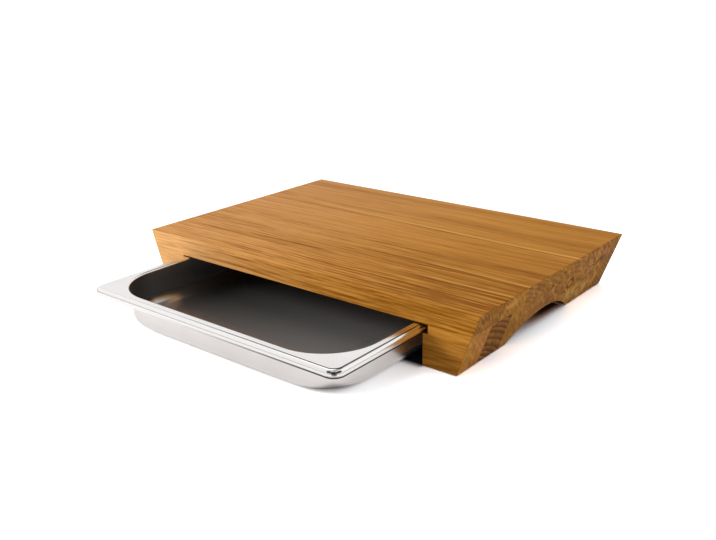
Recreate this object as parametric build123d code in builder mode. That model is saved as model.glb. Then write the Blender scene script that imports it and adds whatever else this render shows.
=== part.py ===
"""Oak cutting block with a deep-drawn steel tray that slides out from under it.

The block is an edge-glued panel on two rails and a back wall, which leave a bay open to the front
and to the table. The tray's rim runs in a rabbet along each rail. Millimetres, +Z up, front at -Y.
The origin is under the middle of the whole object, with the tray drawn out as it is stored here.
"""

import os

from build123d import *

# Tray: a half-size gastronorm pan
tray_width = 325.0
tray_length = 265.0
tray_height = 40.0
sheet = 0.8
rim_width = 9.0  # lip to mouth, on the straight sides
rim_drop = 8.0  # height of the turned-down lip
rim_corner = 11.0
lip_roll = 2.5
mouth_corner = 57.0
mouth_roll = 2.0
wall_draft = 5.0  # degrees
base_radius = 16.0

# Block
board_length = 437.0  # along X, at the top, before its edges are rounded
board_thickness = 62.0
end_inset = 22.5  # how far each end slants in, from top to bottom
panel_thickness = 20.5
back_wall = 28.0
edge_round = 1.0
top_stave_shares = (45, 41, 43, 38, 46, 40, 41)  # relative widths, front to back
rail_block_shares = (33, 37, 35, 36, 40, 41, 44)  # relative widths, front to back

# Finger recess across both rails
recess_span = 128.0
recess_rise = 21.0

# Fit of the tray in its bay
slot_play = 2.5  # each side of the rim, in the rabbet
ledge_width = 5.5
slot_headroom = 0.7  # above the rim
running_gap = 0.3  # under the lip
end_gap = 1.0  # behind the closed tray
tray_pull = 121.0  # how far the stored tray is drawn out
tray_shift = -2.0  # the stored tray lies towards the left rail

# Levels
panel_bottom = board_thickness - panel_thickness
rim_top = panel_bottom - slot_headroom
lip_bottom = rim_top - rim_drop
ledge_top = lip_bottom - running_gap

# Depths, front to back
bay_depth = tray_length + end_gap
board_depth = bay_depth + back_wall
whole_depth = board_depth + tray_pull
tray_front = -whole_depth / 2
board_front = tray_front + tray_pull
board_back = board_front + board_depth
bay_back = board_front + bay_depth
tray_middle = tray_front + tray_length / 2
board_middle = board_front + board_depth / 2

# Widths of the bay
slot_width = tray_width + 2 * slot_play
bay_width = slot_width - 2 * ledge_width

DOWN = (0, 0, -1)


def seams(start, depth, shares):
    """Places of the glue lines, from start over depth, for staves of these relative widths."""
    places = [start]
    for share in shares:
        places.append(places[-1] + depth * share / sum(shares))
    return places


def save(piece, name):
    """Labels a finished piece and writes it under its name."""
    piece.part.label = name
    export_step(piece.part, f"parts/{name}.step")


os.makedirs("parts", exist_ok=True)

# The glued-up block, in one piece, before it is divided at its glue lines
with BuildPart() as block:
    with BuildSketch(Plane.XZ.offset(-board_back)):
        with BuildLine():
            Polyline(
                (-board_length / 2, board_thickness),
                (board_length / 2, board_thickness),
                (board_length / 2 - end_inset, 0),
                (-board_length / 2 + end_inset, 0),
                close=True,
            )
        make_face()
    extrude(amount=board_depth)
    fillet(block.edges(), edge_round)
    # Bay for the tray's body, then the wider slot for its rim
    with BuildSketch(Plane.XZ.offset(-bay_back)):
        Rectangle(bay_width, panel_bottom, align=(Align.CENTER, Align.MIN))
    extrude(amount=bay_depth, mode=Mode.SUBTRACT)
    with BuildSketch(Plane.XZ.offset(-bay_back)):
        with Locations((0, ledge_top)):
            Rectangle(slot_width, panel_bottom - ledge_top, align=(Align.CENTER, Align.MIN))
    extrude(amount=bay_depth, mode=Mode.SUBTRACT)
    # Finger recess: one arc through both rails
    recess_radius = (recess_span**2 / 4 + recess_rise**2) / (2 * recess_rise)
    with BuildSketch(Plane.YZ):
        with Locations((board_middle, recess_rise - recess_radius)):
            Circle(recess_radius)
    extrude(amount=board_length / 2, both=True, mode=Mode.SUBTRACT)

# Panel: staves with their grain along X, side by side from front to back
panel_seams = seams(board_front, board_depth, top_stave_shares)
for number, (near, far) in enumerate(zip(panel_seams, panel_seams[1:]), start=1):
    with BuildPart() as stave:
        add(block.part)
        with BuildSketch(Plane.XY.offset(panel_bottom)):
            with Locations((0, near)):
                Rectangle(board_length, far - near, align=(Align.CENTER, Align.MIN))
        extrude(amount=panel_thickness, mode=Mode.INTERSECT)
    save(stave, f"top_stave_{number}")

# Rails: blocks glued side by side under each end of the panel
rail_seams = seams(board_front, bay_depth, rail_block_shares)
for side, edge in (("left", Align.MAX), ("right", Align.MIN)):
    for number, (near, far) in enumerate(zip(rail_seams, rail_seams[1:]), start=1):
        with BuildPart() as rail_block:
            add(block.part)
            with BuildSketch(Plane.XY):
                with Locations((0, near)):
                    Rectangle(board_length / 2, far - near, align=(edge, Align.MIN))
            extrude(amount=panel_bottom, mode=Mode.INTERSECT)
        save(rail_block, f"{side}_rail_block_{number}")

# Back wall: one stave from end to end, closing the bay
with BuildPart() as back_stave:
    add(block.part)
    with BuildSketch(Plane.XY):
        with Locations((0, bay_back)):
            Rectangle(board_length, back_wall, align=(Align.CENTER, Align.MIN))
    extrude(amount=panel_bottom, mode=Mode.INTERSECT)
save(back_stave, "back_stave")


def pan_outline(height, inset, corner):
    """A rounded outline at this height, inset from the lip."""
    with BuildSketch(Plane((tray_shift, tray_middle, height))) as outline:
        RectangleRounded(tray_width - 2 * inset, tray_length - 2 * inset, corner)
    return outline.sketch


# Outside of the pan, drawn down from the rim
with BuildPart() as pan_outside:
    add(pan_outline(rim_top, rim_width - sheet, mouth_corner + sheet))
    extrude(amount=tray_height, dir=DOWN, taper=wall_draft)
    fillet(pan_outside.faces().sort_by(Axis.Z)[0].edges(), base_radius)

# Inside of the pan
with BuildPart() as pan_inside:
    add(pan_outline(rim_top, rim_width, mouth_corner))
    extrude(amount=tray_height - sheet, dir=DOWN, taper=wall_draft)
    fillet(pan_inside.faces().sort_by(Axis.Z)[0].edges(), base_radius - sheet)

# Hollow under the flange, inside the lip
with BuildPart() as lip_hollow:
    add(pan_outline(rim_top - sheet, sheet, rim_corner - sheet))
    extrude(amount=rim_drop - sheet, dir=DOWN)
    fillet(lip_hollow.faces().sort_by(Axis.Z)[-1].edges(), lip_roll - sheet)

with BuildPart() as tray:
    add(pan_outline(rim_top, 0, rim_corner))
    extrude(amount=rim_drop, dir=DOWN)
    fillet(tray.faces().sort_by(Axis.Z)[-1].edges(), lip_roll)
    add(lip_hollow.part, mode=Mode.SUBTRACT)
    add(pan_outside.part)
    flange_under = tray.faces().filter_by(Plane.XY).group_by(Axis.Z)[-2].face()
    fillet(flange_under.inner_wires()[0].edges(), mouth_roll - sheet)
    add(pan_inside.part, mode=Mode.SUBTRACT)
    flange_top = tray.faces().filter_by(Plane.XY).sort_by(Axis.Z)[-1]
    fillet(flange_top.inner_wires()[0].edges(), mouth_roll)
save(tray, "tray")
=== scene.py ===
"""Looks of the cutting block with its steel tray: oiled oak, satin steel, a white studio table."""

from math import acos, asin, cos, degrees, pi, radians, sin, tan

import bpy
from mathutils import Matrix, Vector


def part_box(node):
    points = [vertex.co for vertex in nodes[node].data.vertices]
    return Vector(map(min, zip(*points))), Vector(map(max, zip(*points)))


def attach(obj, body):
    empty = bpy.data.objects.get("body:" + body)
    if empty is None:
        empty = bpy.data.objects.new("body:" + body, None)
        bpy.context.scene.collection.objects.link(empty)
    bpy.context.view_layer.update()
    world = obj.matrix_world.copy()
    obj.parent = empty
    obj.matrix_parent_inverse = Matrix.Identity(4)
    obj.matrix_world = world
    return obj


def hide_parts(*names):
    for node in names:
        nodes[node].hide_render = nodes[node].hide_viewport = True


MM = 0.001

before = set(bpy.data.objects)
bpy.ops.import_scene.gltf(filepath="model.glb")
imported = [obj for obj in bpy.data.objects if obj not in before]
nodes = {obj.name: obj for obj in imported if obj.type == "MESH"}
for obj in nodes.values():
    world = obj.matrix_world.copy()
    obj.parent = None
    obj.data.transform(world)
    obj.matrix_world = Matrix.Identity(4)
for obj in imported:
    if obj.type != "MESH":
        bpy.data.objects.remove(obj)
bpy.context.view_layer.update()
scene = bpy.context.scene

# ---------------------------------------------------------------------------------------------
# Places that the frame gives, in millimetres

top_nodes = sorted(name for name in nodes if name.startswith("top_stave_"))
board_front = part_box(top_nodes[0])[0].y / MM
board_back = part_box(top_nodes[-1])[1].y / MM
board_middle = (board_front + board_back) / 2
tray_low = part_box("tray")[0] / MM
tray_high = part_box("tray")[1] / MM


# ---------------------------------------------------------------------------------------------
# Shader node helpers

class Graph:
    """A node tree, with short calls for the nodes used here."""

    def __init__(self, tree):
        self.tree = tree
        tree.nodes.clear()

    def node(self, kind):
        return self.tree.nodes.new(kind)

    def link(self, source, target):
        self.tree.links.new(source, target)

    def put(self, socket, value):
        """Sets a socket to a number, a vector or another node's output."""
        if isinstance(value, bpy.types.NodeSocket):
            self.link(value, socket)
        else:
            socket.default_value = value

    def math(self, operation, a, b=0.0):
        node = self.node("ShaderNodeMath")
        node.operation = operation
        self.put(node.inputs[0], a)
        self.put(node.inputs[1], b)
        return node.outputs[0]

    def add(self, a, b):
        return self.math("ADD", a, b)

    def sub(self, a, b):
        return self.math("SUBTRACT", a, b)

    def mul(self, a, b):
        return self.math("MULTIPLY", a, b)

    def most(self, a, b):
        return self.math("MAXIMUM", a, b)

    def size(self, value):
        return self.math("ABSOLUTE", value)

    def distance(self, a, b):
        """The length of a flat vector with these two parts."""
        return self.math("SQRT", self.add(self.mul(a, a), self.mul(b, b)))

    def step(self, value, low, high, out_low=0.0, out_high=1.0):
        """A smooth step of value from low to high."""
        node = self.node("ShaderNodeMapRange")
        node.interpolation_type = "SMOOTHSTEP"
        for socket, number in zip(node.inputs, (value, low, high, out_low, out_high)):
            self.put(socket, number)
        return node.outputs["Result"]

    def position(self):
        """The surface point in millimetres, in the object's own frame."""
        coordinates = self.node("ShaderNodeTexCoord")
        scale = self.node("ShaderNodeVectorMath")
        scale.operation = "SCALE"
        scale.inputs["Scale"].default_value = 1 / MM
        self.link(coordinates.outputs["Object"], scale.inputs[0])
        return scale.outputs[0]

    def normal(self):
        return self.node("ShaderNodeTexCoord").outputs["Normal"]

    def split(self, vector):
        node = self.node("ShaderNodeSeparateXYZ")
        self.link(vector, node.inputs[0])
        return node.outputs

    def join(self, x, y, z):
        node = self.node("ShaderNodeCombineXYZ")
        for socket, value in zip(node.inputs, (x, y, z)):
            self.put(socket, value)
        return node.outputs[0]

    def noise(self, vector, detail=2.0, rough=0.5):
        node = self.node("ShaderNodeTexNoise")
        self.put(node.inputs["Vector"], vector)
        node.inputs["Scale"].default_value = 1.0
        node.inputs["Detail"].default_value = detail
        node.inputs["Roughness"].default_value = rough
        return node.outputs["Fac"]

    def grain(self, place, scales, offset=0.0, detail=2.0, rough=0.5):
        """Noise at a place (x, y, z) with a scale along each axis, and its own offset in depth."""
        across, along, deep = (self.mul(value, scale) for value, scale in zip(place, scales))
        return self.noise(self.join(across, along, self.add(deep, offset)), detail, rough)

    def cells(self, vector):
        """Distance to the nearest cell border of a Voronoi pattern."""
        node = self.node("ShaderNodeTexVoronoi")
        node.feature = "DISTANCE_TO_EDGE"
        self.put(node.inputs["Vector"], vector)
        node.inputs["Scale"].default_value = 1.0
        return node.outputs["Distance"]

    def mix(self, factor, a, b):
        node = self.node("ShaderNodeMix")
        node.data_type = "RGBA"
        self.put(node.inputs["Factor"], factor)
        for socket in node.inputs:
            if socket.type == "RGBA" and socket.name in ("A", "B"):
                self.put(socket, a if socket.name == "A" else b)
        return next(socket for socket in node.outputs if socket.type == "RGBA")

    def shade(self, colour, value):
        """A colour times a grey value."""
        node = self.node("ShaderNodeVectorMath")
        node.operation = "SCALE"
        self.link(colour, node.inputs[0])
        self.put(node.inputs["Scale"], value)
        return node.outputs[0]

    def light_paths(self):
        """Whether a ray comes from the camera, or from a mirroring or clear surface."""
        rays = self.node("ShaderNodeLightPath")
        mirrored = self.most(rays.outputs["Is Glossy Ray"], rays.outputs["Is Transmission Ray"])
        return rays.outputs["Is Camera Ray"], mirrored


class Surface(Graph):
    """A material with one Principled shader."""

    def __init__(self, name):
        self.material = bpy.data.materials.new(name)
        self.material.use_nodes = True
        super().__init__(self.material.node_tree)
        self.output = self.node("ShaderNodeOutputMaterial")
        self.shader = self.node("ShaderNodeBsdfPrincipled")
        self.link(self.shader.outputs["BSDF"], self.output.inputs["Surface"])

    def bump(self, height, strength, distance):
        node = self.node("ShaderNodeBump")
        node.inputs["Strength"].default_value = strength
        node.inputs["Distance"].default_value = distance
        self.link(height, node.inputs["Height"])
        self.link(node.outputs[0], self.shader.inputs["Normal"])


# ---------------------------------------------------------------------------------------------
# Oiled oak, as a solid texture: rings round the trunk's heart, pores and fibres along X

# Of the next two colours, the left one is paler by painted sheen, which fades towards the right
LEFT_OAK = (0.64, 0.31, 0.105, 1.0)
RIGHT_OAK = (0.64, 0.28, 0.045, 1.0)
DARK_OAK = (0.25, 0.08, 0.004, 1.0)
# The next colour is painted sheen on the front face towards the left
FRONT_SHEEN_OAK = (0.84, 0.53, 0.25, 1.0)
LINE_OAK = (0.82, 0.46, 0.12, 1.0)
LIGHT_END = (0.74, 0.30, 0.075, 1.0)
GOLDEN_END = (0.75, 0.325, 0.05, 1.0)
DARK_END = (0.20, 0.07, 0.010, 1.0)
YELLOW_END = (0.80, 0.48, 0.12, 1.0)
OIL_IOR = 1.09  # the oil has sunk in, so little gloss is left
FULL_SPECULAR = 0.5
OAK_ROUGHNESS = 0.42
PORE_ROUGHNESS = 0.2  # on top of it

# Scales of the patterns, per millimetre along X, Y and Z
WANDER_SCALE = (0.0035, 0.012, 0.012)
FIBRE_SCALE = (0.008, 0.22, 0.22)
PORE_SCALE = (0.035, 1.5, 1.5)
BAND_SCALE = (0.0035, 0.045, 0.04)
FLECK_SCALE = (0.028, 0.7, 0.5)
BLOTCH_SCALE = (0.02, 0.1, 0.1)
GRIT_SCALE = (0.2, 0.9, 0.9)
VEIN_SCALE = (0.02, 0.05, 0.11)
RAY_SCALE = (0.045, 0.22)  # along and across the rays
RING_SCALE = 0.07  # along the radius

WANDER = 26.0  # millimetres by which the rings swing to the sides
RING_DRIFT = 2.5  # rings by which their spacing varies
RING_MIDDLE = 0.35  # the mean of the ring pattern
RAY_SLANT = radians(40.0)  # of the rays in the end grain, downwards to the back
STROKE_FADE = 0.22  # of a mark's length, at each end
VEIN_BEND = 16.0  # millimetres

# What each pattern adds to the share of dark wood on the long grain, and on the ends
BAND_SHARE = 0.5
FIBRE_SHARE = 1.3
FLECK_SHARE = 1.1
RING_SHARE = 0.2
PORE_SHARE = 0.15
DARK_MARK_SHARE = 0.5
BLOTCH_SHARE = 0.9
GRIT_SHARE = 0.35
LIGHT_END_SHARE = 0.6

# Where the wood's tone changes, some of it painted sheen and painted shade: places in millimetres,
# directions as parts of the normal
LEFT_SHEEN_FADES = (-230.0, 170.0)  # along X
RIGHT_SHADE_GROWS = (-100.0, 230.0)  # along X
FRONT_SHEEN_FADES = (-30.0, -215.0)  # along X
FACES_FRONT = (-0.5, -0.8)
AT_END = (0.6, 0.8)
# Painted shade on the underside, in the bay and in the finger recess: where each lies, and how much it
# darkens
UNDERSIDE = (-0.5, -0.9)
UNDERSIDE_SHADE = 0.5
BAY_SIDES = (168.0, 166.0)
BAY_ROOF = (42.0, 41.0)
BEHIND_FRONT = (-0.7, -0.3)
BEFORE_BACK = (4.0, 6.0)
BAY_WOOD_SHADE = 0.8
RECESS_FACES_DOWN = (-0.5, -0.75)
RECESS_FOOT = (0.5, 3.0)
RECESS_ROOF = (24.0, 22.0)
RECESS_WOOD_SHADE = 0.8

# A knot: a dark ring that wobbles with the blotches round lighter wood
KNOT_WOBBLE = 4.0
KNOT_HALO = 5.0
KNOT_LIGHT = 0.25
KNOT_RING = (2.2, 0.8)
KNOT_DARK = 0.85


def stroke(g, along, across, mark):
    """How far a mark covers the surface: 1 on its middle line, fading at its sides and its ends."""
    place, slope, bow, half_width, start, end = mark
    fade = STROKE_FADE * (end - start)
    line = g.add(place, g.mul(along, g.add(slope, g.mul(along, bow))))
    cover = g.step(g.size(g.sub(across, line)), half_width, 0.0)
    begins = g.step(along, start, start + fade)
    ends = g.step(along, end, end - fade)
    return g.mul(cover, g.mul(begins, ends))


def knot(g, cut, y, z, blotch, place):
    """The end grain's share of dark wood, with a knot at place (y, z, radius)."""
    knot_y, knot_z, radius = place
    apart = g.distance(g.sub(y, knot_y), g.sub(z, knot_z))
    wobble = g.mul(g.sub(blotch, 0.5), KNOT_WOBBLE)
    off_ring = g.size(g.sub(apart, g.add(radius, wobble)))
    cut = g.sub(cut, g.mul(g.step(apart, radius + KNOT_HALO, radius), KNOT_LIGHT))
    return g.add(cut, g.mul(g.step(off_ring, *KNOT_RING), KNOT_DARK))


def oak(name, heart, spacing=4.0, base=0.3, grain=1.0, rightward_shade=0.0, left_sheen=0.0, dark_marks=(),
        light_marks=(), end_base=0.45, end_rings=0.18, end_light=(), end_yellow=(), knots=(),
        rays=0.25, veins=0.0, offset=0.0):
    """Oak from a trunk whose heart runs along X at (y, z) = heart, in millimetres.

    base is the share of dark wood, grain the contrast of the figure. A mark on the long grain is
    (y, slope, bow, half width, first x, last x), one on an end (z, slope, bow, half width, first y,
    last y), and a knot (y, z, radius).
    """
    g = Surface(name)
    place = g.split(g.position())
    x, y, z = place
    facing_x, facing_y, facing_z = g.split(g.normal())
    # Distance from the heart, with a slow wander along the trunk
    wander = g.mul(g.sub(g.grain(place, WANDER_SCALE, offset), 0.5), WANDER)
    radius = g.distance(g.add(g.sub(y, heart[0]), wander), g.sub(z, heart[1]))
    uneven = g.noise(g.join(g.mul(radius, RING_SCALE), offset, 0.0))
    phase = g.math("FRACT", g.add(g.mul(radius, 1 / spacing), g.mul(uneven, RING_DRIFT)))
    ring = g.mul(g.step(phase, 0.0, 0.15), g.step(phase, 0.8, 0.15))
    # Fibres, pores and broad bands of tone, all long in X, and flecks of a few centimetres
    fibre = g.grain(place, FIBRE_SCALE, offset, 5.0, 0.68)
    fine = g.grain(place, PORE_SCALE, offset, 3.0, 0.7)
    broad = g.grain(place, BAND_SCALE, offset)
    pore = g.mul(g.step(fine, 0.58, 0.72), g.add(0.4, g.mul(ring, 0.6)))
    fleck = g.grain(place, FLECK_SCALE, offset, 3.0, 0.6)
    # Long grain
    share = g.add(base, g.mul(g.sub(broad, 0.5), BAND_SHARE))
    share = g.add(share, g.mul(g.sub(fibre, 0.5), FIBRE_SHARE * grain))
    share = g.add(share, g.mul(g.sub(fleck, 0.5), FLECK_SHARE * grain))
    share = g.add(share, g.mul(g.sub(ring, RING_MIDDLE), RING_SHARE * grain))
    share = g.add(share, g.mul(pore, PORE_SHARE))
    # Painted shade: the wood darkens towards the right
    share = g.add(share, g.mul(g.step(x, *RIGHT_SHADE_GROWS), rightward_shade))
    ragged = g.step(fibre, 0.38, 0.56)
    for mark in dark_marks:
        share = g.add(share, g.mul(stroke(g, x, y, mark), g.mul(ragged, DARK_MARK_SHARE)))
    # Painted sheen: the wood is paler towards the left
    light = g.mix(g.step(x, *LEFT_SHEEN_FADES), LEFT_OAK, RIGHT_OAK)
    side = g.mix(g.step(share, 0.0, 1.0), light, DARK_OAK)
    # Painted sheen: the front face pales towards the left
    if left_sheen:
        at_front = g.mul(g.step(x, *FRONT_SHEEN_FADES), g.step(facing_y, *FACES_FRONT))
        side = g.mix(g.mul(at_front, left_sheen), side, FRONT_SHEEN_OAK)
    for mark in light_marks:
        flecked = g.add(0.1, g.mul(fleck, 0.8))
        side = g.mix(g.mul(stroke(g, x, y, mark), flecked), side, LINE_OAK)
    # Painted shade: the underside, the inside of the bay and the finger recess are darkened
    in_bay = g.mul(g.step(g.size(x), *BAY_SIDES), g.step(z, *BAY_ROOF))
    in_bay = g.mul(in_bay, g.step(facing_y, *BEHIND_FRONT))
    in_bay = g.mul(in_bay, g.step(y, *(board_back - inset for inset in BEFORE_BACK)))
    painted_shade = g.most(g.mul(g.step(facing_z, *UNDERSIDE), UNDERSIDE_SHADE), g.mul(in_bay, BAY_WOOD_SHADE))
    in_recess = g.mul(g.step(z, *RECESS_FOOT), g.step(z, *RECESS_ROOF))
    in_recess = g.mul(g.step(facing_z, *RECESS_FACES_DOWN), in_recess)
    painted_shade = g.most(painted_shade, g.mul(in_recess, RECESS_WOOD_SHADE))
    side = g.shade(side, g.sub(1.0, painted_shade))
    # End grain: the same rings, slanting rays, blotches and pores as dots
    down_ray = g.sub(g.mul(y, cos(RAY_SLANT)), g.mul(z, sin(RAY_SLANT)))
    over_ray = g.add(g.mul(y, sin(RAY_SLANT)), g.mul(z, cos(RAY_SLANT)))
    ray_place = g.join(g.mul(down_ray, RAY_SCALE[0]), g.mul(over_ray, RAY_SCALE[1]), offset)
    ray = g.noise(ray_place, 3.0, 0.55)
    blotch = g.grain(place, BLOTCH_SCALE, offset, 4.0, 0.65)
    grit = g.grain(place, GRIT_SCALE, offset, 3.0, 0.7)
    cut = g.add(end_base, g.mul(g.sub(blotch, 0.5), BLOTCH_SHARE))
    cut = g.add(cut, g.mul(g.sub(ring, RING_MIDDLE), end_rings))
    cut = g.add(cut, g.mul(g.sub(grit, 0.5), GRIT_SHARE))
    cut = g.sub(cut, g.mul(g.step(ray, 0.48, 0.7), rays))
    for mark in end_light:
        cut = g.sub(cut, g.mul(stroke(g, y, z, mark), LIGHT_END_SHARE))
    for knot_place in knots:
        cut = knot(g, cut, y, z, blotch, knot_place)
    if veins:
        bent = g.add(y, g.mul(blotch, VEIN_BEND))
        vein_place = (g.mul(value, scale) for value, scale in zip((x, bent, z), VEIN_SCALE))
        cut = g.add(cut, g.mul(g.step(g.cells(g.join(*vein_place)), 0.1, 0.0), veins))
    warmth = g.mix(g.step(broad, 0.4, 0.6), LIGHT_END, GOLDEN_END)
    end = g.mix(g.step(cut, 0.0, 1.0), warmth, DARK_END)
    for mark in end_yellow:
        end = g.mix(g.mul(stroke(g, y, z, mark), g.step(blotch, 0.4, 0.6)), end, YELLOW_END)
    at_end = g.step(g.size(facing_x), *AT_END)
    g.link(g.mix(at_end, side, end), g.shader.inputs["Base Color"])
    g.link(g.add(OAK_ROUGHNESS, g.mul(fine, PORE_ROUGHNESS)), g.shader.inputs["Roughness"])
    g.shader.inputs["IOR"].default_value = OIL_IOR
    specular = g.sub(FULL_SPECULAR, g.mul(in_recess, FULL_SPECULAR))
    g.link(specular, g.shader.inputs["Specular IOR Level"])
    g.bump(g.sub(g.mul(fibre, 0.4), pore), 0.3, 0.15 * MM)
    return g.material


def dress(node, material):
    """Gives a CAD node this material in every slot."""
    mesh = nodes[node].data
    mesh.materials.clear()
    mesh.materials.append(material)


# What the staves of the panel show, front to back
PANEL = {
    "top_stave_1": dict(
        heart=(-190.0, -60.0), spacing=3.4, base=0.35, grain=1.2, rightward_shade=0.3, left_sheen=0.3,
        dark_marks=[(-57.0, 0.0, 0.0, 4.5, 70.0, 260.0)],
        end_base=0.62),
    "top_stave_2": dict(
        heart=(-150.0, -90.0), spacing=3.8, base=0.38, grain=0.85, rightward_shade=0.25,
        dark_marks=[(-25.0, 0.045, 0.0, 2.5, -130.0, 10.0), (-32.0, -0.03, 0.0, 6.0, 90.0, 250.0),
                    (-8.0, 0.02, 0.0, 2.5, 60.0, 250.0)],
        light_marks=[(-27.0, -0.01, 0.0, 2.2, 100.0, 300.0)],
        end_base=0.45, end_light=[(54.0, 0.0, 0.0, 4.0, -40.0, -15.0)], rays=0.4),
    "top_stave_3": dict(
        heart=(-60.0, -130.0), spacing=4.4, base=0.36, grain=0.8, rightward_shade=0.2,
        dark_marks=[(3.0, -0.02, 0.0, 2.5, 90.0, 250.0)],
        light_marks=[(6.5, -0.02, 0.0, 2.2, 80.0, 300.0)],
        end_base=0.55),
    "top_stave_4": dict(
        heart=(-20.0, -160.0), spacing=4.8, base=0.32, grain=0.6, rightward_shade=0.15,
        end_base=0.55, rays=0.4),
    "top_stave_5": dict(
        heart=(60.0, -170.0), spacing=4.6, base=0.32, grain=0.6, rightward_shade=0.12,
        light_marks=[(106.3, -0.0304, 6.25e-5, 3.8, -200.0, 500.0)],
        dark_marks=[(101.8, -0.0304, 6.25e-5, 2.0, 0.0, 400.0)],
        end_base=0.52, rays=0.5),
    "top_stave_6": dict(
        heart=(130.0, -170.0), spacing=5.0, base=0.33, grain=0.5, rightward_shade=0.12,
        end_base=0.5, end_rings=0.1, rays=0.5, veins=0.2),
    "top_stave_7": dict(
        heart=(230.0, -160.0), spacing=5.0, base=0.34, grain=0.55, rightward_shade=0.1,
        end_base=0.58, end_rings=0.1, rays=0.4, veins=0.2),
}

# What the blocks of the rails show, front to back, alike on both sides
RAILS = [
    dict(heart=(-30.0, 20.0), spacing=3.6, base=0.32, grain=0.9, rightward_shade=0.17, left_sheen=0.3,
         end_base=0.36, rays=0.5),
    dict(heart=(-97.0, -114.0), spacing=5.5, base=0.4, end_base=0.84, end_rings=0.6, rays=0.2),
    dict(heart=(60.0, 60.0), spacing=4.0, end_base=0.5),
    dict(heart=(-60.0, 70.0), spacing=4.4, end_base=0.48),
    dict(heart=(75.0, 30.0), spacing=4.2, end_base=0.48, end_rings=0.1, rays=0.4, veins=0.25),
    dict(heart=(104.0, 33.0), spacing=4.0, end_base=0.42, end_rings=0.1, rays=0.5, veins=0.3,
         knots=[(105.5, 33.0, 5.5)], end_yellow=[(16.0, 0.0, 0.0, 13.0, 95.0, 165.0)]),
    dict(heart=(120.0, 80.0), spacing=3.8, end_base=0.48, end_rings=0.1, rays=0.5, veins=0.25,
         end_yellow=[(14.0, 0.0, 0.0, 14.0, 100.0, 170.0)]),
]
BACK_STAVE = dict(heart=(240.0, 90.0), end_base=0.6)

# Places in the noise, so that no two pieces look alike
PANEL_OFFSET_STEP = 3.7
RAIL_OFFSET = 40.0
RAIL_OFFSET_STEP = 5.3
SIDE_OFFSET_STEP = 60.0
BACK_OFFSET = 31.0

for index, (name, look) in enumerate(PANEL.items()):
    dress(name, oak(f"oak_{name}", offset=PANEL_OFFSET_STEP * index, **look))
for side_index, side in enumerate(("left", "right")):
    for index, look in enumerate(RAILS):
        name = f"{side}_rail_block_{index + 1}"
        offset = RAIL_OFFSET + RAIL_OFFSET_STEP * index + SIDE_OFFSET_STEP * side_index
        dress(name, oak(f"oak_{name}", offset=offset, **look))
dress("back_stave", oak("oak_back_stave", offset=BACK_OFFSET, **BACK_STAVE))


# ---------------------------------------------------------------------------------------------
# The steel pan, as one sheet with a rolled lip, drawn as rings of a rounded outline

TRAY_WIDTH = tray_high.x - tray_low.x
TRAY_LENGTH = tray_high.y - tray_low.y
TRAY_MIDDLE = (tray_low + tray_high) / 2
RIM_TOP = tray_high.z
RIM_DROP = 8.0
LIP_BOTTOM = RIM_TOP - RIM_DROP
TRAY_FLOOR = tray_low.z
SHEET = 0.8
RIM_CORNER = 11.0
RIM_WIDTH = 9.0
CORNER_SHRINK = 0.7  # of the rim's corner radius, per millimetre from the lip
MOUTH_CORNER = 57.0
MOUTH_STARTS = 2.0  # so much before the mouth the corners take its radius
MOUTH_ROLL = 2.0
WALL_DRAFT = 5.0  # degrees
BASE_RADIUS = 16.0
FLANGE_DROP = 0.1  # the flange lies this much under the bead
FLANGE_EDGE = 0.1  # the bevel where it meets the groove
FLANGE_MARGIN = 1.2  # from the groove and from the mouth's roll to the first rings on the flat
CREASE_INSET = 3.3  # the groove between bead and flange
CREASE_HALF = 0.28
CREASE_DEPTH = 0.7
CREASE_SHEET = 0.6  # the sheet's thickness under the groove
CREASE_MARGIN = 0.4
HEM = 1.7  # height of the lip's set-back lower edge
HEM_INSET = 0.4
HEM_STEP = 0.05
LINE_DROP = 5.8  # a fine line along the lip lies this much under the rim's top
LINE_DEPTH = 0.2
BEAD_RADIUS = 5.5  # of the roll between lip and groove
SHARP = 35.0  # degrees, the bend from which an edge is sharp
# Of the pan's materials, the dark one on the groove and the hem is painted shade
SATIN, DARK, POLISHED = range(3)  # the pan's materials

# How many facets each curve has
CORNER_STEPS = 32
BEAD_STEPS = 18
ROLL_STEPS = 8
BASE_STEPS = 16
INNER_ROLL_STEPS = 5
INNER_BEAD_STEPS = 8


def arc(centre, radius, start, end, steps):
    """Points of an arc in the profile plane (inset, height), angles in degrees."""
    points = []
    for step in range(steps + 1):
        angle = radians(start + (end - start) * step / steps)
        points.append((centre[0] + radius * cos(angle), centre[1] + radius * sin(angle)))
    return points


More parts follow.
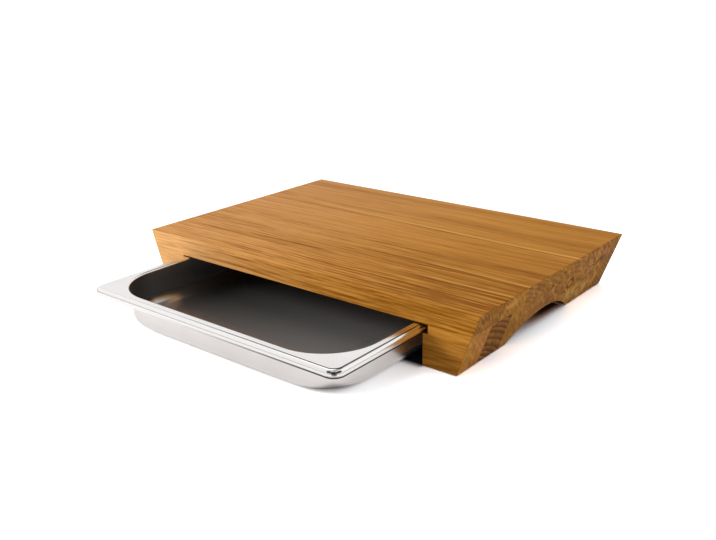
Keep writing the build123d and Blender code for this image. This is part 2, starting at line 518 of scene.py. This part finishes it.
def pan_profile():
    """The sheet's section: the hem, the lip, the groove, the rest of the upper side, the under side.

    Each is a list of (inset from the lip, height).
    """
    flange = RIM_TOP - FLANGE_DROP
    line = RIM_TOP - LINE_DROP
    crease_near = CREASE_INSET - CREASE_HALF
    crease_far = CREASE_INSET + CREASE_HALF
    crease_floor = RIM_TOP - CREASE_DEPTH
    bead_centre = (BEAD_RADIUS, RIM_TOP - BEAD_RADIUS)
    hem = [(HEM_INSET, LIP_BOTTOM), (HEM_INSET, LIP_BOTTOM + HEM)]
    lip = [(0.0, LIP_BOTTOM + HEM + HEM_STEP), (0.0, line - LINE_DEPTH), (LINE_DEPTH, line),
           (0.0, line + LINE_DEPTH)]
    bead_end = degrees(acos(crease_near / BEAD_RADIUS - 1))
    bead = arc(bead_centre, BEAD_RADIUS, 180, bead_end, BEAD_STEPS)
    lip += bead[:-1]
    groove = [bead[-1], (crease_near, crease_floor), (crease_far, crease_floor),
              (crease_far, flange - FLANGE_EDGE)]
    upper = [(crease_far + FLANGE_EDGE, flange), (CREASE_INSET + FLANGE_MARGIN, flange),
             (RIM_WIDTH - FLANGE_MARGIN, flange)]
    # Mouth roll, wall and base radius of the upper side
    roll = (RIM_WIDTH, flange - MOUTH_ROLL)
    upper += arc(roll, MOUTH_ROLL, 90, WALL_DRAFT, ROLL_STEPS)[1:]
    wall_top = upper[-1]
    draft = radians(WALL_DRAFT)
    base = BASE_RADIUS - SHEET
    floor = TRAY_FLOOR + SHEET
    base_top = floor + base * (1 - sin(draft))
    base_inset = wall_top[0] + (wall_top[1] - base_top) * tan(draft)
    base_centre = (base_inset + base * cos(draft), floor + base)
    upper += arc(base_centre, base, 180 + WALL_DRAFT, 270, BASE_STEPS)
    # Under side, from the floor's edge back out to the lip
    crease_under = crease_floor - CREASE_SHEET
    under = arc(base_centre, BASE_RADIUS, 270, 180 + WALL_DRAFT, BASE_STEPS)
    under += arc(roll, MOUTH_ROLL - SHEET, WALL_DRAFT, 90, INNER_ROLL_STEPS)
    under += [(CREASE_INSET + FLANGE_MARGIN, flange - SHEET),
              (crease_far + CREASE_MARGIN, crease_under), (crease_near + FLANGE_EDGE, crease_under)]
    bead_inside = BEAD_RADIUS - SHEET
    under_start = 180 - degrees(asin((crease_under - bead_centre[1]) / bead_inside))
    under += arc(bead_centre, bead_inside, under_start, 180, INNER_BEAD_STEPS)
    under += [(SHEET, LIP_BOTTOM)]
    return hem, lip, groove, upper, under


def corner_at(inset):
    """The outline's corner radius at this inset: tight round the rim, wide at the mouth."""
    if inset < RIM_WIDTH - MOUTH_STARTS:
        return RIM_CORNER - inset * CORNER_SHRINK
    return MOUTH_CORNER + RIM_WIDTH - inset


def outline(inset, height):
    """One closed ring of points of the pan, in metres."""
    corner = corner_at(inset)
    half_x = TRAY_WIDTH / 2 - inset - corner
    half_y = TRAY_LENGTH / 2 - inset - corner
    ring = []
    for quarter, (side_x, side_y) in enumerate(((1, 1), (-1, 1), (-1, -1), (1, -1))):
        for step in range(CORNER_STEPS + 1):
            angle = pi / 2 * (quarter + step / CORNER_STEPS)
            x = side_x * half_x + corner * cos(angle)
            y = side_y * half_y + corner * sin(angle)
            ring.append(Vector((TRAY_MIDDLE.x + x, TRAY_MIDDLE.y + y, height)) * MM)
    return ring


def pan_mesh():
    """The pan as strips of quads between rings, each strip with its own material."""
    hem, lip, groove, upper, under = pan_profile()
    profile = hem + lip + groove + upper + under
    # The hem and the groove are real shapes in the sheet; their dark steel is painted shade
    finishes = [DARK] * len(hem) + [POLISHED] * len(lip) + [DARK] * len(groove)
    finishes += [SATIN] * (len(upper) + len(under))
    rings = [outline(inset, height) for inset, height in profile]
    count = len(rings[0])
    floor_ring = len(rings) - len(under) - 1
    faces = []
    face_finishes = []
    for number, finish in enumerate(finishes):
        if number == floor_ring:
            continue
        here = number * count
        there = (number + 1) % len(rings) * count
        for k in range(count):
            after = (k + 1) % count
            faces.append((here + k, here + after, there + after, there + k))
            face_finishes.append(finish)
    faces.append(tuple(floor_ring * count + k for k in range(count)))
    faces.append(tuple((floor_ring + 1) * count + k for k in reversed(range(count))))
    face_finishes += [SATIN, SATIN]
    mesh = bpy.data.meshes.new("steel_pan")
    mesh.from_pydata([point for ring in rings for point in ring], [], faces)
    for polygon, finish in zip(mesh.polygons, face_finishes):
        polygon.material_index = finish
    mesh.shade_smooth()
    mesh.set_sharp_from_angle(angle=radians(SHARP))
    return mesh


BRIGHT_STEEL = (0.92, 0.90, 0.885, 1.0)
DULL_STEEL = (0.80, 0.77, 0.76, 1.0)
# The basin's darker steel is painted shade
SHADED_BASIN_STEEL = (0.46, 0.45, 0.44, 1.0)
# Painted shade in the groove and on the hem, darker towards the right
GROOVE_SHADE_STEEL = (0.07, 0.06, 0.055, 1.0)
GROOVE_LEFT_STEEL = (0.95, 0.93, 0.92, 1.0)  # the groove's left end
GROOVE_SHADE_GROWS = (-90.0, 160.0)  # millimetres along X over which the groove darkens
# The share of light that the basin scatters, growing towards the right as painted light: from x, to x,
# least, most
BASIN_PAINTED_LIGHT = (-150.0, 130.0, 0.07, 0.33)
UNDER_FLANGE = (1.0, 4.0)  # millimetres under the rim's top
FACES_UP = (0.0, 0.05)
BRUSHED_SCALE = (0.15, 2.0, 2.0)
CLOUD_SCALE = (0.02, 0.02, 0.05)
ROLLED_SCALE = (0.1, 0.1, 3.0)
FLANGE_ROUGHNESS = 0.15
BODY_ROUGHNESS = 0.24
BASIN_ROUGHNESS = 0.22
LIP_ROUGHNESS = 0.18
GROOVE_ROUGHNESS = 0.3


def satin_steel():
    """Satin steel: a brighter flange, a rougher outside, and a basin darkened by painted shade that
    scatters more light towards the right as painted light.
    """
    g = Surface("satin_steel")
    place = g.split(g.position())
    x, y, z = place
    grain = g.grain(place, BRUSHED_SCALE, 0.0, 3.0, 0.6)
    cloud = g.grain(place, CLOUD_SCALE)
    facing = g.split(g.normal())[2]
    below = g.step(z, *(RIM_TOP - drop for drop in UNDER_FLANGE))
    in_basin = g.mul(below, g.step(facing, *FACES_UP))
    outside = g.sub(below, in_basin)
    # Painted light: the basin scatters more light towards the right
    painted_basin_light = g.step(x, *BASIN_PAINTED_LIGHT)
    g.link(g.sub(1.0, g.mul(in_basin, painted_basin_light)), g.shader.inputs["Metallic"])
    sheen = g.mix(cloud, BRIGHT_STEEL, DULL_STEEL)
    # Painted shade: the basin's steel is darker than the rest
    g.link(g.mix(in_basin, sheen, SHADED_BASIN_STEEL), g.shader.inputs["Base Color"])
    rough = g.add(FLANGE_ROUGHNESS, g.mul(outside, BODY_ROUGHNESS - FLANGE_ROUGHNESS))
    rough = g.add(rough, g.mul(in_basin, BASIN_ROUGHNESS - FLANGE_ROUGHNESS))
    g.link(g.add(rough, g.mul(grain, 0.05)), g.shader.inputs["Roughness"])
    g.bump(g.add(g.mul(grain, 0.1), cloud), 0.2, 0.1 * MM)
    return g.material


def edge_steel(name, left_colour, right_colour, roughness):
    """Steel with a fine grain round the pan, whose colour changes from left to right; on the groove
    and the hem that colour is painted shade, darker to the right.
    """
    g = Surface(name)
    place = g.split(g.position())
    grain = g.grain(place, ROLLED_SCALE, 0.0, 3.0, 0.6)
    g.shader.inputs["Metallic"].default_value = 1.0
    colour = g.mix(g.step(place[0], *GROOVE_SHADE_GROWS), left_colour, right_colour)
    g.link(g.shade(colour, g.add(0.95, g.mul(grain, 0.1))), g.shader.inputs["Base Color"])
    g.link(g.add(roughness, g.mul(grain, 0.04)), g.shader.inputs["Roughness"])
    return g.material


pan = bpy.data.objects.new("steel_pan", pan_mesh())
scene.collection.objects.link(pan)
pan.data.materials.append(satin_steel())
pan.data.materials.append(edge_steel("groove_shade_steel", GROOVE_LEFT_STEEL, GROOVE_SHADE_STEEL, GROOVE_ROUGHNESS))
pan.data.materials.append(edge_steel("polished_steel", BRIGHT_STEEL, BRIGHT_STEEL, LIP_ROUGHNESS))
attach(pan, "tray")
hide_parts("tray")


# ---------------------------------------------------------------------------------------------
# Table. All lengths in millimetres, apart from the table's own in metres

FLOOR_DROP = 0.3 * MM
FLOOR_HALF = 6.0
TABLE_DIFFUSE = 0.88  # what the table sends back to the object
TABLE_SEEN = 1.4  # the same in the camera's eyes, so that open table is white and shadow stays
# Painted light on the table to the right, which fades the block's shadow there
TABLE_SEEN_RIGHT = 3.3  # the same to the right, where the shadow is faint
TABLE_MIRRORED = 0.6  # the same in reflections, on top of an even share
MIRRORED_LIFT = 0.3  # this even share
# Painted light in reflections of the table to the right
MIRRORED_LIFT_RIGHT = 0.45  # the same to the right
SHADOW_REACH = (450.0, 800.0)  # from the middle, over which the table's shading gives way to white
RIGHT_SIDE = (60.0, 230.0)  # along X
PLAIN_TINT = (1.0, 1.0, 1.0, 1.0)
RIGHT_TINT = (0.92, 1.0, 1.08, 1.0)  # evens out the wood's warm light on the table to the right
MIRRORED_TINT = (1.02, 0.985, 0.975, 1.0)
# Painted shadow: under the panel the table is darkened
BAY_TABLE_SHADOW = 0.99
BAY_HALF = 158.0
BAY_SIDE_FADE = 4.0
BAY_FRONT_FADE = (-9.0, 3.0)  # from the board's front
BAY_BACK_FADE = 20.0
# The table's glow in reflections is taken away under the pan's foot, as painted shadow
# From the pan's lip to where its base starts to lift off the table
PAN_FOOT = 26.0
PAN_FOOT_FADE = (8.0, -4.0)
# Painted shadow on the table in the finger recess at each end
RECESS_SHADOW_TINT = (1.0, 0.5, 0.35, 1.0)
RECESS_HALF = 64.0  # along Y
RECESS_FADE = (2.0, -4.0)
RECESS_DEEP = (201.0, 184.0)  # from the end's foot to the deep of the recess, along X
RECESS_TABLE_SHADOW = 0.97
RECESS_NEAR_SHARE = 0.2
RECESS_FAR_SIDE = (-50.0, 40.0)  # from the board's middle, along Y
# Painted shadow on the table, seen only in reflections: the camera's own dark side, as the pan's near
# corner mirrors it
DARK_SIDE = -51.0  # degrees, seen from that corner
DARK_SIDE_HALF = (17.0, 25.0)
DARK_SIDE_STARTS = (80.0, 150.0)


def in_open_bay(g, x, y):
    """Where the table lies in the bay."""
    inside = g.mul(g.step(y, *(board_front + fade for fade in BAY_FRONT_FADE)),
                   g.step(y, board_back, board_back - BAY_BACK_FADE))
    return g.mul(inside, g.step(g.size(x), BAY_HALF + BAY_SIDE_FADE, BAY_HALF))


def under_pan(g, x, y):
    """Where the table lies under the foot of the stored pan, or behind its front."""
    outer, inner = PAN_FOOT_FADE
    side = TRAY_WIDTH / 2 - PAN_FOOT
    front = tray_low.y + PAN_FOOT
    foot = g.step(g.size(g.sub(x, TRAY_MIDDLE.x)), side + outer, side + inner)
    return g.mul(foot, g.step(y, front - outer, front - inner))


def in_dark_side(g, x, y):
    """Where the table lies towards the camera's dark side, seen from the pan's near corner."""
    off_x = g.sub(x, tray_high.x)
    off_y = g.sub(y, tray_low.y)
    away = g.distance(off_x, off_y)
    along = g.add(g.mul(off_x, cos(radians(DARK_SIDE))), g.mul(off_y, sin(radians(DARK_SIDE))))
    full, outer = (cos(radians(angle)) for angle in DARK_SIDE_HALF)
    sector = g.step(g.math("DIVIDE", along, away), outer, full)
    return g.mul(sector, g.step(away, *DARK_SIDE_STARTS))


def in_recess_mouth(g, x, y):
    """Where the table lies in a finger recess, most on the recess's far side."""
    across = g.size(g.sub(y, board_middle))
    recess = g.step(across, *(RECESS_HALF + fade for fade in RECESS_FADE))
    recess = g.mul(recess, g.step(g.size(x), *RECESS_DEEP))
    far_side = g.step(y, *(board_middle + place for place in RECESS_FAR_SIDE))
    return g.mul(recess, g.add(RECESS_NEAR_SHARE, g.mul(far_side, 1.0 - RECESS_NEAR_SHARE)))


def table_material():
    """White table: shaded near the object, with painted shadow and painted light on it, plain white
    further off and for what mirrors it.
    """
    g = Surface("white_table")
    camera_ray, mirrored = g.light_paths()
    seen = g.most(camera_ray, mirrored)
    place = g.position()
    x, y, z = g.split(place)
    length = g.node("ShaderNodeVectorMath")
    length.operation = "LENGTH"
    g.link(place, length.inputs[0])
    far = g.mul(g.step(length.outputs["Value"], *SHADOW_REACH), seen)
    # Painted light: the table is brighter to the right, for the camera and in reflections
    rightness = g.step(x, *RIGHT_SIDE)
    shown = g.add(TABLE_SEEN, g.mul(rightness, TABLE_SEEN_RIGHT - TABLE_SEEN))
    value = g.add(TABLE_DIFFUSE, g.mul(camera_ray, g.sub(shown, TABLE_DIFFUSE)))
    value = g.add(value, g.mul(mirrored, TABLE_MIRRORED - TABLE_DIFFUSE))
    # Painted shadow on the table under the panel
    left_over = g.sub(1.0, g.mul(in_open_bay(g, x, y), g.mul(seen, BAY_TABLE_SHADOW)))
    value = g.mul(value, g.mul(left_over, g.sub(1.0, far)))
    # Painted shadow in reflections: the table's glow is taken away under the pan, and the camera's
    # side is darkened
    rise = g.add(MIRRORED_LIFT, g.mul(rightness, MIRRORED_LIFT_RIGHT - MIRRORED_LIFT))
    even = g.mul(mirrored, g.mul(g.mul(left_over, g.sub(1.0, under_pan(g, x, y))), rise))
    lit = g.sub(1.0, g.mul(in_dark_side(g, x, y), mirrored))
    lift = g.mul(g.most(far, even), lit)
    value = g.mul(value, lit)
    # Painted shadow: the table in the recess at each end is dark deep inside, tinted brown by the
    # wood's light
    recess = g.mul(in_recess_mouth(g, x, y), camera_ray)
    value = g.mul(value, g.sub(1.0, g.mul(recess, RECESS_TABLE_SHADOW)))
    tint = g.mix(rightness, PLAIN_TINT, RIGHT_TINT)
    tint = g.mix(mirrored, tint, MIRRORED_TINT)
    tint = g.mix(recess, tint, RECESS_SHADOW_TINT)
    paint = g.node("ShaderNodeBsdfDiffuse")
    glow = g.node("ShaderNodeEmission")
    both = g.node("ShaderNodeAddShader")
    g.link(g.shade(tint, value), paint.inputs["Color"])
    g.link(lift, glow.inputs["Strength"])
    g.link(paint.outputs[0], both.inputs[0])
    g.link(glow.outputs[0], both.inputs[1])
    g.tree.nodes.remove(g.shader)
    g.link(both.outputs[0], g.output.inputs["Surface"])
    return g.material


table_mesh = bpy.data.meshes.new("table")
table_corners = [(x * FLOOR_HALF, y * FLOOR_HALF, -FLOOR_DROP)
                 for x, y in ((-1, -1), (1, -1), (1, 1), (-1, 1))]
table_mesh.from_pydata(table_corners, [], [(0, 1, 2, 3)])
table = bpy.data.objects.new("table", table_mesh)
scene.collection.objects.link(table)
table.data.materials.append(table_material())


# ---------------------------------------------------------------------------------------------
# Studio and lamps

WHITE = (1.0, 1.0, 1.0, 1.0)
AMBIENT = 0.55
# What the steel mirrors of the studio's darker parts: azimuth, elevation and half width in degrees,
# and the share of white that each keeps
DARK_PARTS = ((-51.0, 33.0, 27.0, 0.02), (-104.0, 40.0, 18.0, 0.02), (2.0, 40.0, 18.0, 0.02),
              (138.0, 50.0, 17.0, 0.4), (92.0, 60.0, 15.0, 0.1))
DARK_SOFTNESS = 6.0  # degrees over which each part begins
HORIZON = (1.0, 3.0, 8.0, 12.0)  # degrees of height between which a grey band runs round the studio
HORIZON_DARKER = 0.6
CEILING_STARTS = (58.0, 80.0)  # degrees of height over which the walls give way to the ceiling
CEILING_DARKER = 0.6


def towards(azimuth, elevation):
    """The direction at these angles, in degrees."""
    level_part = cos(radians(elevation))
    return (level_part * cos(radians(azimuth)), level_part * sin(radians(azimuth)),
            sin(radians(elevation)))


def studio_world():
    """A white room for the camera and for reflections, with an unlit end, and even light otherwise."""
    world = bpy.data.worlds.new("studio")
    world.use_nodes = True
    g = Graph(world.node_tree)
    camera_ray, mirrored = g.light_paths()
    direction = g.node("ShaderNodeTexCoord").outputs["Generated"]
    # Reflections show a darker ceiling and the unlit end
    height = g.split(direction)[2]
    ceiling = g.step(height, *(sin(radians(angle)) for angle in CEILING_STARTS), 0.0, CEILING_DARKER)
    begins, grey, still_grey, ends = (sin(radians(angle)) for angle in HORIZON)
    band = g.mul(g.step(height, begins, grey), g.step(height, ends, still_grey))
    ceiling = g.most(ceiling, g.mul(band, HORIZON_DARKER))
    unlit = 0.0
    for azimuth, elevation, half_width, kept in DARK_PARTS:
        nearness = g.node("ShaderNodeVectorMath")
        nearness.operation = "DOT_PRODUCT"
        nearness.inputs[1].default_value = towards(azimuth, elevation)
        g.link(direction, nearness.inputs[0])
        edges = (cos(radians(half_width + softness)) for softness in (DARK_SOFTNESS, 0.0))
        unlit = g.most(unlit, g.step(nearness.outputs["Value"], *edges, 0.0, 1.0 - kept))
    bright = g.mul(g.sub(1.0, ceiling), g.sub(1.0, unlit))
    strength = g.add(AMBIENT, g.mul(camera_ray, 1.0 - AMBIENT))
    strength = g.add(strength, g.mul(mirrored, g.sub(bright, AMBIENT)))
    sky = g.node("ShaderNodeBackground")
    sky.inputs["Color"].default_value = WHITE
    g.link(strength, sky.inputs["Strength"])
    g.link(sky.outputs[0], g.node("ShaderNodeOutputWorld").inputs["Surface"])
    return world


def lamp(name, place, target, width, height, power):
    """A soft rectangular lamp at place that faces target, metres and watts."""
    data = bpy.data.lights.new(name, "AREA")
    data.shape = "RECTANGLE"
    data.size = width
    data.size_y = height
    data.energy = power
    item = bpy.data.objects.new(name, data)
    scene.collection.objects.link(item)
    item.location = place
    item.rotation_mode = "QUATERNION"
    item.rotation_quaternion = (Vector(target) - Vector(place)).to_track_quat("-Z", "Y")
    item.visible_camera = False
    return item


scene.world = studio_world()
left_front = lamp("left_front_box", place=(-0.8, -0.85, 0.6), target=(-0.1, -0.1, 0.03),
                  width=0.5, height=0.4, power=12.0)
left_front.visible_glossy = False
lamp("overhead_box", place=(-0.35, 0.1, 1.3), target=(-0.05, 0.05, 0.05),
     width=0.9, height=0.9, power=3.0)


# ---------------------------------------------------------------------------------------------
# The camera stands where the photograph's corners of the block put it

CAMERA_PLACE = Vector((567.9, -587.2 + board_front, 346.9)) * MM
CAMERA_YAW = radians(-39.38)
CAMERA_PITCH = radians(19.59)
CAMERA_ROLL = radians(-1.02)
FOCAL_PIXELS = 869.3
PHOTO_WIDTH = 716
SENSOR = 36.0

level = Vector((cos(CAMERA_YAW), -sin(CAMERA_YAW), 0.0))
heading = Vector((sin(CAMERA_YAW), cos(CAMERA_YAW), 0.0))
forward = heading * cos(CAMERA_PITCH) - Vector((0.0, 0.0, sin(CAMERA_PITCH)))
upright = level.cross(forward)
right = level * cos(CAMERA_ROLL) + upright * sin(CAMERA_ROLL)
up = upright * cos(CAMERA_ROLL) - level * sin(CAMERA_ROLL)
camera_data = bpy.data.cameras.new("camera")
camera_data.sensor_width = SENSOR
camera_data.lens = FOCAL_PIXELS / PHOTO_WIDTH * SENSOR
camera = bpy.data.objects.new("camera", camera_data)
scene.collection.objects.link(camera)
turned = Matrix((right, up, -forward)).transposed().to_4x4()
camera.matrix_world = Matrix.Translation(CAMERA_PLACE) @ turned
scene.camera = camera

scene.view_settings.view_transform = "Standard"
